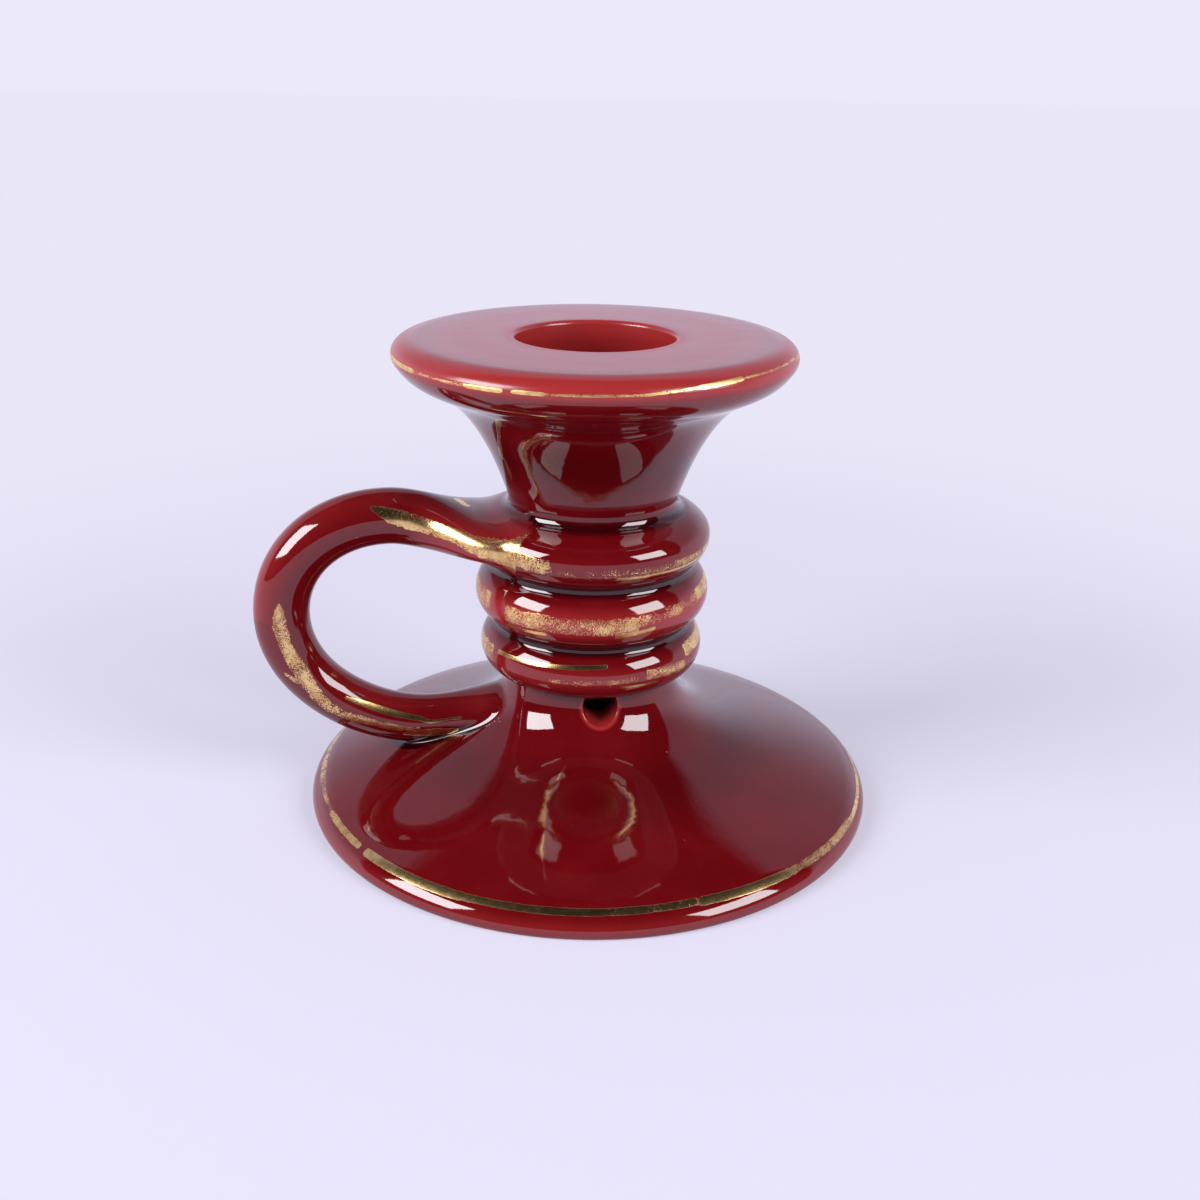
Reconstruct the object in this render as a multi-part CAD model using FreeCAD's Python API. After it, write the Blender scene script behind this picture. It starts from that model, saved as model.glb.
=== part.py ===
import FreeCAD, Part
import math
import os

# A glazed chamberstick: a bell-shaped foot, a hollow stem wound with three clay coils,
# a flared drip pan with a sunk candle socket, and a finger loop rolled from one more coil.
# Sizes are millimetres. The origin is the middle of the foot ring, on the table.
# +Z runs up the stem, -X points at the finger loop and -Y at the vent hole.

# Foot: a shallow bell, open underneath, that rises into a short collar
FOOT_RADIUS = 45.85
FOOT_EDGE_HEIGHT = 0.8
FOOT_EDGE_ROUNDING = 0.6
FOOT_RING_WIDTH = 4.2
SHOULDER_INSET = 3.4
SHOULDER_HEIGHT = 4.4
COLLAR_RADIUS = 13.7
COLLAR_HEIGHT = 21.9
BELL_WALL = 3.8
BELL_EDGE_SHARES = (0.416, 0.274)
BELL_COLLAR_SHARE = 0.611
SHOULDER_ARC_SHARES = (0.29, 0.55)

# Stem: a plain tube that the coils are wound on
STEM_RADIUS = 11.6
STEM_BORE_RADIUS = 9.0

# Coils, from the foot up: each one's height, and how far its belly reaches from the axis
COIL_HEIGHTS = (8.5, 9.65, 8.65)
COIL_RADII = (17.75, 18.45, 18.45)
COIL_CREASE_DEPTH = 3.4
COIL_BELLY_SHARE = 0.5

# Vent hole, drilled through the front of the collar into the hollow stem. It cuts the
# collar's top edge, and the lowest coil roofs it.
VENT_RADIUS = 2.7
VENT_DROP = 2.0

# Drip pan: a neck that flares into a flat pan with a rounded rim
NECK_RADIUS = 12.2
PAN_HEIGHT = 26.3
PAN_RADIUS = 30.35
PAN_RIM_HEIGHT = 3.5
PAN_RIM_DROP = 2.3
PAN_TOP_INSET = 2.1
FLARE_END_INSET = 0.38
NECK_PULL_SHARES = (0.523, 1.05)
FLARE_PULL_SHARES = (0.235, 0.28)

# Candle socket: a cup that drops into the pan, with a softened lip
SOCKET_RADIUS = 12.0
SOCKET_DEPTH = 18.0
SOCKET_WALL = 1.6
SOCKET_FLOOR = 2.2
SOCKET_LIP = 0.65
SOCKET_CORNER = 1.5

# Finger loop: the reach of its centre line, the height of its lower end, and its section
LOOP_REACH = 48.85
LOOP_FOOT_HEIGHT = 12.6
LOOP_WIDTH = 8.7
LOOP_THICKNESS = 8.7
# Each station of the loop, from inside the upper coil round to inside the collar: its place
# as a share of the reach and of the rise from the lowest point to the upper coil's belly,
# then its width and its thickness as shares.
LOOP_STATION_SHARES = (
    (0.164, 1.004, 2.62, 1.00),
    (0.368, 1.012, 2.44, 1.00),
    (0.469, 1.045, 1.72, 1.01),
    (0.643, 1.098, 1.01, 1.00),
    (0.786, 1.061, 1.02, 1.02),
    (0.901, 0.950, 1.02, 1.02),
    (0.974, 0.790, 1.01, 1.01),
    (1.000, 0.588, 1.00, 1.00),
    (0.960, 0.352, 0.98, 0.98),
    (0.856, 0.167, 0.94, 0.94),
    (0.708, 0.044, 0.91, 0.91),
    (0.540, 0.000, 0.91, 0.90),
    (0.205, 0.050, 1.08, 1.05),
)
SECTION_POINTS = 12

AXIS_UP = FreeCAD.Vector(0, 0, 1)
SIDEWAYS = FreeCAD.Vector(0, 1, 0)
ORIGIN = FreeCAD.Vector(0, 0, 0)
FULL_TURN = 360


def at(radius, height):
    """A point of an outline, in the plane that is turned round the stem's axis."""
    return FreeCAD.Vector(radius, 0, height)


def line(start, end):
    return Part.LineSegment(start, end).toShape()


def arc(start, middle, end):
    return Part.Arc(start, middle, end).toShape()


def curve(start, pull_start, pull_end, end):
    """A smooth curve that leaves start towards one handle and reaches end from the other."""
    bezier = Part.BezierCurve()
    bezier.setPoles([start, pull_start, pull_end, end])
    return bezier.toShape()


def turned(edges):
    """The solid that a closed outline makes when it turns once round the stem's axis."""
    face = Part.Face(Part.Wire(edges))
    return Part.makeSolid(face.revolve(ORIGIN, AXIS_UP, FULL_TURN))


def coil_floor(index):
    """Height of the flat that coil number index sits on, counted from the foot up."""
    return COLLAR_HEIGHT + sum(COIL_HEIGHTS[:index])


def stem_top():
    return coil_floor(len(COIL_HEIGHTS))


def full_height():
    return stem_top() + PAN_HEIGHT


def bell_outline(bore):
    """Edges of the foot's outer side, from the table up to the collar's top at the bore."""
    shoulder = at(FOOT_RADIUS - SHOULDER_INSET, SHOULDER_HEIGHT)
    collar = at(COLLAR_RADIUS, COLLAR_HEIGHT)
    rise = COLLAR_HEIGHT - SHOULDER_HEIGHT
    run = shoulder.x - collar.x
    edge_share, lift_share = BELL_EDGE_SHARES
    across_share, up_share = SHOULDER_ARC_SHARES
    bulge = at(
        FOOT_RADIUS - SHOULDER_INSET * across_share,
        FOOT_EDGE_HEIGHT + (SHOULDER_HEIGHT - FOOT_EDGE_HEIGHT) * up_share,
    )
    widest = at(FOOT_RADIUS, FOOT_EDGE_HEIGHT)
    underside = at(FOOT_RADIUS - FOOT_EDGE_ROUNDING, 0)
    return [
        line(underside, widest),
        arc(widest, bulge, shoulder),
        curve(
            shoulder,
            at(shoulder.x - run * edge_share, shoulder.z + rise * lift_share),
            at(COLLAR_RADIUS, COLLAR_HEIGHT - rise * BELL_COLLAR_SHARE),
            collar,
        ),
        line(collar, at(bore, COLLAR_HEIGHT)),
    ]


def bell_underside():
    """Edges of the hollow, from the collar's bore down to the foot ring and out to its edge."""
    shoulder = at(FOOT_RADIUS - SHOULDER_INSET, SHOULDER_HEIGHT)
    rise = COLLAR_HEIGHT - SHOULDER_HEIGHT
    run = shoulder.x - COLLAR_RADIUS
    edge_share, lift_share = BELL_EDGE_SHARES
    ring_outer = at(FOOT_RADIUS - FOOT_EDGE_ROUNDING, 0)
    ring_inner = at(ring_outer.x - FOOT_RING_WIDTH, 0)
    spring = at(STEM_BORE_RADIUS, COLLAR_HEIGHT - BELL_WALL)
    return [
        line(at(STEM_BORE_RADIUS, COLLAR_HEIGHT), spring),
        curve(
            spring,
            at(STEM_BORE_RADIUS, COLLAR_HEIGHT - rise * BELL_COLLAR_SHARE - BELL_WALL),
            at(shoulder.x - run * edge_share, shoulder.z + rise * lift_share - BELL_WALL),
            ring_inner,
        ),
        line(ring_inner, ring_outer),
    ]


def vent_tool():
    """The drill for the vent: level, from outside the collar to the stem's axis."""
    height = COLLAR_HEIGHT - VENT_DROP
    start = FreeCAD.Vector(0, -COLLAR_RADIUS - BELL_WALL, height)
    return Part.makeCylinder(VENT_RADIUS, COLLAR_RADIUS + BELL_WALL, start, SIDEWAYS)


def base_bell():
    return turned(bell_outline(STEM_BORE_RADIUS) + bell_underside()).cut(vent_tool())


def stem_tube():
    height = stem_top() - COLLAR_HEIGHT
    floor = at(0, COLLAR_HEIGHT)
    outside = Part.makeCylinder(STEM_RADIUS, height, floor)
    return outside.cut(Part.makeCylinder(STEM_BORE_RADIUS, height, floor))


def crease_radius(index):
    """Where a coil's floor opens to view: at the collar, in a crease or at the neck."""
    if index == 0:
        return COLLAR_RADIUS
    if index == len(COIL_HEIGHTS):
        return NECK_RADIUS
    return min(COIL_RADII[index - 1], COIL_RADII[index]) - COIL_CREASE_DEPTH


def coil(index, bore):
    """One turn of rolled clay: round outside, flattened where it is pressed on its neighbours."""
    low = coil_floor(index)
    high = coil_floor(index + 1)
    belly = at(COIL_RADII[index], low + COIL_HEIGHTS[index] * COIL_BELLY_SHARE)
    lower = at(crease_radius(index), low)
    upper = at(crease_radius(index + 1), high)
    return turned(
        [
            line(at(bore, low), lower),
            arc(lower, belly, upper),
            line(upper, at(bore, high)),
            line(at(bore, high), at(bore, low)),
        ]
    )


def pan_outline():
    """Edges of the pan's outer side, from the foot of the neck to the flat top's edge."""
    low = stem_top()
    top = full_height()
    neck = at(NECK_RADIUS, low)
    flare_end = at(PAN_RADIUS - FLARE_END_INSET, top - PAN_RIM_HEIGHT)
    run = flare_end.x - neck.x
    rise = flare_end.z - neck.z
    neck_out, neck_up = NECK_PULL_SHARES
    flare_in, flare_down = FLARE_PULL_SHARES
    return [
        curve(
            neck,
            at(neck.x + run * neck_out, neck.z + rise * neck_up),
            at(flare_end.x - run * flare_in, flare_end.z - rise * flare_down),
            flare_end,
        ),
        arc(flare_end, at(PAN_RADIUS, top - PAN_RIM_DROP), at(PAN_RADIUS - PAN_TOP_INSET, top)),
    ]


def solid_pan():
    """The pan and its neck before they are hollowed for the socket cup."""
    top = full_height()
    return turned(
        pan_outline()
        + [
            line(at(PAN_RADIUS - PAN_TOP_INSET, top), at(0, top)),
            line(at(0, top), at(0, stem_top())),
            line(at(0, stem_top()), at(NECK_RADIUS, stem_top())),
        ]
    )


def cup_outline(radius, depth, corner, centre):
    """Edges round a cup's side and bottom, from the pan's top down to the centre radius."""
    top = full_height()
    bend = corner * (1 - math.sqrt(0.5))
    floor = top - depth
    return [
        line(at(radius, top), at(radius, floor + corner)),
        arc(
            at(radius, floor + corner),
            at(radius - bend, floor + bend),
            at(radius - corner, floor),
        ),
        line(at(radius - corner, floor), at(centre, floor)),
    ]


def drip_pan():
    """The pan, hollowed for the socket cup, which rests on a ledge above the stem's bore."""
    cup_radius = SOCKET_RADIUS + SOCKET_WALL
    cup_depth = SOCKET_DEPTH + SOCKET_FLOOR
    top = full_height()
    seat = cup_outline(cup_radius, cup_depth, SOCKET_CORNER + SOCKET_WALL, STEM_BORE_RADIUS)
    return turned(
        pan_outline()
        + [line(at(PAN_RADIUS - PAN_TOP_INSET, top), at(cup_radius, top))]
        + seat
        + [
            line(at(STEM_BORE_RADIUS, top - cup_depth), at(STEM_BORE_RADIUS, stem_top())),
            line(at(STEM_BORE_RADIUS, stem_top()), at(NECK_RADIUS, stem_top())),
        ]
    )


def candle_socket():
    """The cup for the candle: a straight bore with a softened lip and a rounded floor."""
    top = full_height()
    cup_radius = SOCKET_RADIUS + SOCKET_WALL
    cup_depth = SOCKET_DEPTH + SOCKET_FLOOR
    blank = turned(
        [line(at(0, top), at(cup_radius, top))]
        + cup_outline(cup_radius, cup_depth, SOCKET_CORNER + SOCKET_WALL, 0)
        + [line(at(0, top - cup_depth), at(0, top))]
    )
    bore = turned(
        [line(at(0, top), at(SOCKET_RADIUS, top))]
        + cup_outline(SOCKET_RADIUS, SOCKET_DEPTH, SOCKET_CORNER, 0)
        + [line(at(0, top - SOCKET_DEPTH), at(0, top))]
    )
    return blank.cut(bore.fuse(lip_tool()))


def lip_tool():
    """The ring that is cut away where the bore rolls over into the pan's flat top."""
    top = full_height()
    bend = SOCKET_LIP * (1 - math.sqrt(0.5))
    return turned(
        [
            line(at(0, top), at(SOCKET_RADIUS + SOCKET_LIP, top)),
            arc(
                at(SOCKET_RADIUS + SOCKET_LIP, top),
                at(SOCKET_RADIUS + bend, top - bend),
                at(SOCKET_RADIUS, top - SOCKET_LIP),
            ),
            line(at(SOCKET_RADIUS, top - SOCKET_LIP), at(0, top - SOCKET_LIP)),
            line(at(0, top - SOCKET_LIP), at(0, top)),
        ]
    )


def loop_station(shares, root_height):
    """Middle, half width and half thickness of the loop at one station."""
    reach_share, rise_share, width_share, thick_share = shares
    rise = root_height - LOOP_FOOT_HEIGHT
    middle = FreeCAD.Vector(-LOOP_REACH * reach_share, 0, LOOP_FOOT_HEIGHT + rise * rise_share)
    return middle, LOOP_WIDTH * width_share / 2, LOOP_THICKNESS * thick_share / 2


def loop_section(middle, across, half_width, half_thickness):
    """A closed section of the loop: flat along its width, and round at both sides."""
    flat = half_width - half_thickness
    points = []
    for step in range(SECTION_POINTS):
        angle = 2 * math.pi * (step + 0.5) / SECTION_POINTS
        sideways = math.copysign(flat, math.cos(angle)) + half_thickness * math.cos(angle)
        points.append(middle + SIDEWAYS * sideways + across * (half_thickness * math.sin(angle)))
    outline = Part.BSplineCurve()
    outline.interpolate(Points=points, PeriodicFlag=True)
    return Part.Wire(outline.toShape())


def loop_blank():
    """The whole rolled loop, with both ends still running on into the stem."""
    top_coil = len(COIL_HEIGHTS) - 1
    root_height = coil_floor(top_coil) + COIL_HEIGHTS[top_coil] * COIL_BELLY_SHARE
    stations = [loop_station(shares, root_height) for shares in LOOP_STATION_SHARES]
    path = Part.BSplineCurve()
    path.interpolate([middle for middle, _, _ in stations])
    sections = []
    for middle, half_width, half_thickness in stations:
        along = path.tangent(path.parameter(middle))[0]
        across = along.cross(SIDEWAYS)
        sections.append(loop_section(middle, across, half_width, half_thickness))
    return Part.makeLoft(sections, True)


def finger_loop():
    """The loop, trimmed where it is luted to the upper coil, the neck, the bell and the collar."""
    down_the_axis = line(at(0, COLLAR_HEIGHT), ORIGIN)
    along_the_table = line(ORIGIN, at(FOOT_RADIUS - FOOT_EDGE_ROUNDING, 0))
    core = turned(bell_outline(0) + [down_the_axis, along_the_table])
    for index in range(len(COIL_HEIGHTS)):
        core = core.fuse(coil(index, 0))
    trimmed = loop_blank().cut(core.fuse(solid_pan()))
    return max(trimmed.Solids, key=lambda solid: solid.Volume)


def save(node, shape):
    if not shape.isValid():
        raise ValueError(node + " is not a valid solid")
    shape.exportStep(os.path.join("parts", node + ".step"))
    print(node, len(shape.Solids), "solid,", round(shape.Volume / 1000, 2), "cm3")


os.makedirs("parts", exist_ok=True)
save("base_bell", base_bell())
save("stem_tube", stem_tube())
for number, node in enumerate(("coil_lower", "coil_middle", "coil_upper")):
    save(node, coil(number, STEM_RADIUS))
save("drip_pan", drip_pan())
save("candle_socket", candle_socket())
save("finger_loop", finger_loop())
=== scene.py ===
# %% [markdown]
# # A glazed chamberstick with a finger loop
# This is a small ceramic candle holder: a bell-shaped foot, a stem wound with three rolls
# of clay, a flared drip pan with a sunk socket, and a finger loop. It was glazed deep red
# all over, and thin lines of gold lustre were brushed on and have since worn.
#
# The CAD model already holds every size. This script loads it as a fixed frame, rebuilds
# the glazed surfaces with the softness that a melted glaze has, and gives them their
# finish. Reading sizes from the frame keeps the two models the same.

# %% The frame
import math
from bisect import bisect_left

import bmesh
import bpy
from mathutils import Matrix, Vector
from mathutils.bvhtree import BVHTree
from mathutils.geometry import interpolate_bezier


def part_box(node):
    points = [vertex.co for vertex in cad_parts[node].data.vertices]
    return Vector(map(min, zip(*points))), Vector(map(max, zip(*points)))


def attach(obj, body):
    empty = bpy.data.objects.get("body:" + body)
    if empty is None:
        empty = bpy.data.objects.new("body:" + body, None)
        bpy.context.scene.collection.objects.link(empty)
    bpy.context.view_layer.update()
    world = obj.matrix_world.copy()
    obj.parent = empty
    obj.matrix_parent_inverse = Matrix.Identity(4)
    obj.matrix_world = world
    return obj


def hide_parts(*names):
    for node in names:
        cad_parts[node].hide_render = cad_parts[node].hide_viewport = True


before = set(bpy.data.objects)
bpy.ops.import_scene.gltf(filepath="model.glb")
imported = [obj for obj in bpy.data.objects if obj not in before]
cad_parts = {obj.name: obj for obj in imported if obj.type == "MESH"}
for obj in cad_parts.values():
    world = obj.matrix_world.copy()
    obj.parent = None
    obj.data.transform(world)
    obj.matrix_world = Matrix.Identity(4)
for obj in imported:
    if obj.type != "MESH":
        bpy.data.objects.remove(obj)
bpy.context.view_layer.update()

# %% [markdown]
# ## Sizes
# Blender works in metres and a potter in millimetres. Outlines are easier to read in
# millimetres, so they are drawn that way, and a finished mesh is scaled once. The sizes
# come from the boxes round the CAD pieces.

# %% Sizes read from the frame
MM = 0.001


def box_mm(node):
    low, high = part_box(node)
    return low / MM, high / MM


FOOT_RADIUS = box_mm("base_bell")[1].y
COLLAR_TOP = box_mm("base_bell")[1].z
STEM_RADIUS = box_mm("stem_tube")[1].y
COIL_NODES = ("coil_lower", "coil_middle", "coil_upper")
COIL_LOWS = [box_mm(node)[0].z for node in COIL_NODES]
COIL_TOPS = [box_mm(node)[1].z for node in COIL_NODES]
COIL_BELLIES = [box_mm(node)[1].y for node in COIL_NODES]
PAN_RADIUS = box_mm("drip_pan")[1].y
PAN_TOP = box_mm("drip_pan")[1].z
CUP_RADIUS = box_mm("candle_socket")[1].y
CUP_BOTTOM = box_mm("candle_socket")[0].z
print("foot", round(FOOT_RADIUS, 2), "pan", round(PAN_RADIUS, 2), "height", round(PAN_TOP, 2))

# %% [markdown]
# ## Drawing an outline
# A thrown or moulded pot is round, so most of it is an outline turned about an axis. An
# outline here is a row of points in the plane of radius and height. Long sweeps are Bezier
# curves and rolled edges are arcs, because both give a smooth highlight from few numbers.

# %% Outline helpers
SAME_POINT = 0.01


def at(radius, height):
    return Vector((radius, 0.0, height))


def curve(start, pull_start, pull_end, end, count):
    return interpolate_bezier(start, pull_start, pull_end, end, count)


def arc(centre, radius, first, last, count):
    """Points on a circle of the outline, between two angles in degrees."""
    angles = [math.radians(first + (last - first) * i / (count - 1)) for i in range(count)]
    return [centre + at(radius * math.cos(a), radius * math.sin(a)) for a in angles]


def heading(vector):
    return math.degrees(math.atan2(vector.z, vector.x))


def joined(*runs):
    """One outline from several runs, without the points that two runs share."""
    outline = []
    for spot in [spot for run in runs for spot in run]:
        if not outline or (spot - outline[-1]).length > SAME_POINT:
            outline.append(spot)
    return outline


# %% [markdown]
# ## Glaze in a corner
# Melted glaze runs into a corner and rounds it, so two clay surfaces never meet in a sharp
# line. Beside a round coil, that rounding is an arc that touches both. Its centre lies one
# glaze radius off the wall and one glaze radius off the coil, which a little algebra finds.

# %% Fillet between a straight wall and a round coil
def glaze_corner(wall, direction, centre, section, glaze, count):
    """Arc that touches a wall, then a coil; direction points along the wall, off the coil."""
    outward = at(direction.z, -direction.x)
    start = wall + outward * glaze - centre
    along = start.dot(direction)
    reach = math.sqrt(along ** 2 - start.length_squared + (section + glaze) ** 2)
    middle = centre + start + direction * (reach - along)
    to_wall = heading(-outward)
    to_coil = heading(centre - middle)
    if to_coil - to_wall > 180:
        to_coil -= 360
    if to_coil - to_wall < -180:
        to_coil += 360
    return arc(middle, glaze, to_wall, to_coil, count)


# %% [markdown]
# ## The coils' circles
# Each coil is a roll of soft clay pressed on the one below. Seen in section it is a circle
# whose centre lies inside the stem's wall. Three points fix it: the crease below, the
# crease above, and the widest place between them, which the frame gives.

# %% Coil circles
CREASE_DEPTH = 3.4
COLLAR_RADIUS = 13.7
NECK_START = at(12.5, COIL_TOPS[2])


def circle_through(first, middle, last):
    """Centre and radius of the circle through three points of an outline."""
    across, along = middle - first, last - first
    twice = 2 * (across.x * along.z - across.z * along.x)
    one, two = across.length_squared, along.length_squared
    centre = first + at(along.z * one - across.z * two, across.x * two - along.x * one) / twice
    return centre, (centre - first).length


crease_radii = [min(pair) - CREASE_DEPTH for pair in zip(COIL_BELLIES, COIL_BELLIES[1:])]
pressed = [COLLAR_RADIUS, *crease_radii, NECK_START.x]
COIL_HEIGHTS = [COLLAR_TOP, *COIL_LOWS[1:], COIL_TOPS[2]]
coil_circles = [
    circle_through(
        at(pressed[index], COIL_HEIGHTS[index]),
        at(belly, (COIL_HEIGHTS[index] + COIL_HEIGHTS[index + 1]) / 2),
        at(pressed[index + 1], COIL_HEIGHTS[index + 1]),
    )
    for index, belly in enumerate(COIL_BELLIES)
]
print("crease radii", [round(radius, 2) for radius in crease_radii])

# %% [markdown]
# ## The upper coil's sag
# The neck and the pan were set on the upper coil while it was soft, so its upper half has
# sunk a little. A lattice could bend the finished mesh, but it is simpler to lower the
# points of the outline before it is turned, because then the coil stays round.

# %% Sag
SAG = 0.6
SAG_FULL = 48.5
SAG_END = 58.0


def step_up(value, low, high):
    """0 below low, 1 above high, and a smooth step between."""
    part = min(1.0, max(0.0, (value - low) / (high - low)))
    return part * part * (3 - 2 * part)


def sagged(outline):
    """An outline after the neck's weight has pressed the upper coil down a little."""
    middle = coil_circles[2][0].z

    def drop(height):
        return SAG * step_up(height, middle, SAG_FULL) * (1 - step_up(height, SAG_FULL, SAG_END))

    return [spot - at(0, drop(spot.z)) for spot in outline]


print("the upper coil's top sinks by", SAG, "mm")

# %% [markdown]
# ## The coils' outlines
# Where two rolls meet, the glaze makes a small hollow, which ends upright so that the next
# coil's hollow carries on from it. The upper coil meets the neck in a larger hollow, which
# is the glaze corner from above.

# %% Coil outlines
CREASE_GLAZE = 1.15
NECK_GLAZE = 1.7
NECK_PULL = at(20.4, 71.8)
CREASE_POINTS = 12
CORNER_POINTS = 16
COIL_POINTS = 48


def crease(index, height):
    """The hollow at a coil's upper or lower edge, from the coil to the crease."""
    centre, section = coil_circles[index]
    reach = section + CREASE_GLAZE
    lean = math.asin((height - centre.z) / reach)
    middle = centre + at(math.cos(lean), math.sin(lean)) * reach
    return arc(middle, CREASE_GLAZE, 180 + math.degrees(lean), 180, CREASE_POINTS)


neck_corner = glaze_corner(
    NECK_START, (NECK_PULL - NECK_START).normalized(), *coil_circles[2], NECK_GLAZE,
    CORNER_POINTS,
)


def coil_face(index):
    """The visible side of one coil, from its lower edge to its upper edge."""
    centre, section = coil_circles[index]
    if index == 0:
        below = [at(COLLAR_RADIUS, COLLAR_TOP)]
    else:
        below = list(reversed(crease(index, COIL_HEIGHTS[index])))
    if index == 2:
        last = heading(neck_corner[-1] - centre)
        above = [NECK_START]
    else:
        above = crease(index, COIL_HEIGHTS[index + 1])
        last = heading(above[0] - centre)
    belly = arc(centre, section, heading(below[-1] - centre), last, COIL_POINTS)
    return joined(below, belly, above)


coil_faces = [coil_face(index) for index in range(len(COIL_NODES))]
coil_faces[2] = sagged(coil_faces[2])
print("points in the coils' outlines", [len(face) for face in coil_faces])

# %% [markdown]
# ## The foot's outline
# The foot is a shallow bell. It rests on a ring, rounds over at its edge, sweeps inwards
# and up, and ends as a short upright collar under the first coil. It is hollow below, as a
# cast or thrown foot is, so that it dries and fires without cracking.

# %% Foot outline
RING_INNER = 41.05
RING_OUTER = 45.25
RING_PULL = at(45.6, 0)
FOOT_WIDEST = at(FOOT_RADIUS, 1.0)
# Heights of the pulls below and above the foot's widest place.
EDGE_PULLS = (0.35, 2.5)
SHOULDER = at(42.45, 4.4)
SHOULDER_PULL = at(43.93, 3.8)
BELL_EDGE_PULL = at(30.5, 9.2)
BELL_COLLAR_PULL = at(COLLAR_RADIUS, 11.2)
BORE_RADIUS = 8.95
BELL_WALL = 3.8

low_pull, high_pull = [at(FOOT_RADIUS, height) for height in EDGE_PULLS]
bell_face = joined(
    curve(at(RING_OUTER, 0), RING_PULL, low_pull, FOOT_WIDEST, 8),
    curve(FOOT_WIDEST, high_pull, SHOULDER_PULL, SHOULDER, 20),
    curve(SHOULDER, BELL_EDGE_PULL, BELL_COLLAR_PULL, at(COLLAR_RADIUS, COLLAR_TOP), 90),
)
bell_hollow = joined(
    curve(
        at(BORE_RADIUS, COLLAR_TOP - BELL_WALL),
        BELL_COLLAR_PULL + at(BORE_RADIUS - COLLAR_RADIUS, -BELL_WALL),
        BELL_EDGE_PULL + at(0, -BELL_WALL),
        at(RING_INNER, 0),
        40,
    ),
    [at(RING_OUTER, 0)],
)
print("foot outline", len(bell_face), "points; hollow", len(bell_hollow))

# %% [markdown]
# ## The pan's outline
# The neck flares into the pan in one sweep. The rim is a soft roll, flat on top with a
# rounded edge, and the top runs level to the socket. The neck's first points give way to
# the glaze corner on the upper coil, and both have sunk with that coil.

# %% Pan outline
FLARE_PULL = at(25.8, 65.1)
FLARE_END = at(29.97, 71.48)
RIM_START_PULL = at(30.22, 71.86)
RIM_WIDEST = at(PAN_RADIUS, 72.7)
# Heights of the pulls below and above the rim's widest place.
RIM_PULLS = (72.2, 73.9)
RIM_TOP_PULL = 29.2
RIM_TOP_START = 26.4
PAN_TOP_RADII = (24, 21, 18, 15.5)
CORNER_GAP = 0.2

neck = [
    spot
    for spot in curve(NECK_START, NECK_PULL, FLARE_PULL, FLARE_END, 80)
    if spot.z > neck_corner[0].z + CORNER_GAP
]
low_pull, high_pull = [at(PAN_RADIUS, height) for height in RIM_PULLS]
pan_face = joined(
    sagged(list(reversed(neck_corner)) + neck),
    curve(FLARE_END, RIM_START_PULL, low_pull, RIM_WIDEST, 8),
    curve(RIM_WIDEST, high_pull, at(RIM_TOP_PULL, PAN_TOP), at(RIM_TOP_START, PAN_TOP), 24),
    [at(radius, PAN_TOP) for radius in PAN_TOP_RADII],
)
print("pan outline", len(pan_face), "points")

# %% [markdown]
# ## The socket's outline
# The candle socket is a straight cup, a little wider than the candle. Its lip is softened,
# so that it doesn't chip, and its floor is rounded into the wall. Only the lip and the top
# of the wall are seen, so the points are close together there and far apart below.

# %% Socket outline
SOCKET_RADIUS = 12.0
LIP_START = 13.1
LIP_ROUNDING = 0.65
SOCKET_HEIGHTS = (72, 69, 66, 63, 60)
SOCKET_FLOOR = 57.0
SOCKET_CORNER = 1.5
FLOOR_RADII = (7, 3, 0)

lip_middle = at(SOCKET_RADIUS + LIP_ROUNDING, PAN_TOP - LIP_ROUNDING)
corner_middle = at(SOCKET_RADIUS - SOCKET_CORNER, SOCKET_FLOOR + SOCKET_CORNER)
socket_face = joined(
    [at(CUP_RADIUS, PAN_TOP), at(LIP_START, PAN_TOP)],
    arc(lip_middle, LIP_ROUNDING, 90, 180, 10),
    [at(SOCKET_RADIUS, height) for height in SOCKET_HEIGHTS],
    arc(corner_middle, SOCKET_CORNER, 0, -90, 8),
    [at(radius, SOCKET_FLOOR) for radius in FLOOR_RADII],
)
print("socket outline", len(socket_face), "points")

# %% [markdown]
# ## Turning
# Blender's Screw modifier could turn an outline, but bmesh.ops.spin does the same in the
# mesh itself, so the vent can be cut next. The outline goes in as a chain of edges, and
# spin sweeps it once round. Merging closes the seam, and the poles on the axis as well.

# %% Turned pieces
TURNS = 256
SHARP_ANGLE = math.radians(40)
SEAM_MERGE = 0.0005


def turned(outline, closed, turns=TURNS):
    """A bmesh, in millimetres, of an outline turned once about the stem's axis."""
    mesh = bmesh.new()
    spots = [mesh.verts.new(spot) for spot in outline]
    edges = [mesh.edges.new(pair) for pair in zip(spots, spots[1:])]
    if closed:
        edges.append(mesh.edges.new((spots[-1], spots[0])))
    bmesh.ops.spin(
        mesh, geom=spots + edges, cent=(0, 0, 0), axis=(0, 0, 1), angle=math.tau,
        steps=turns, use_merge=True,
    )
    bmesh.ops.remove_doubles(mesh, verts=mesh.verts, dist=SEAM_MERGE)
    bmesh.ops.recalc_face_normals(mesh, faces=mesh.faces)
    return mesh


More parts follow.
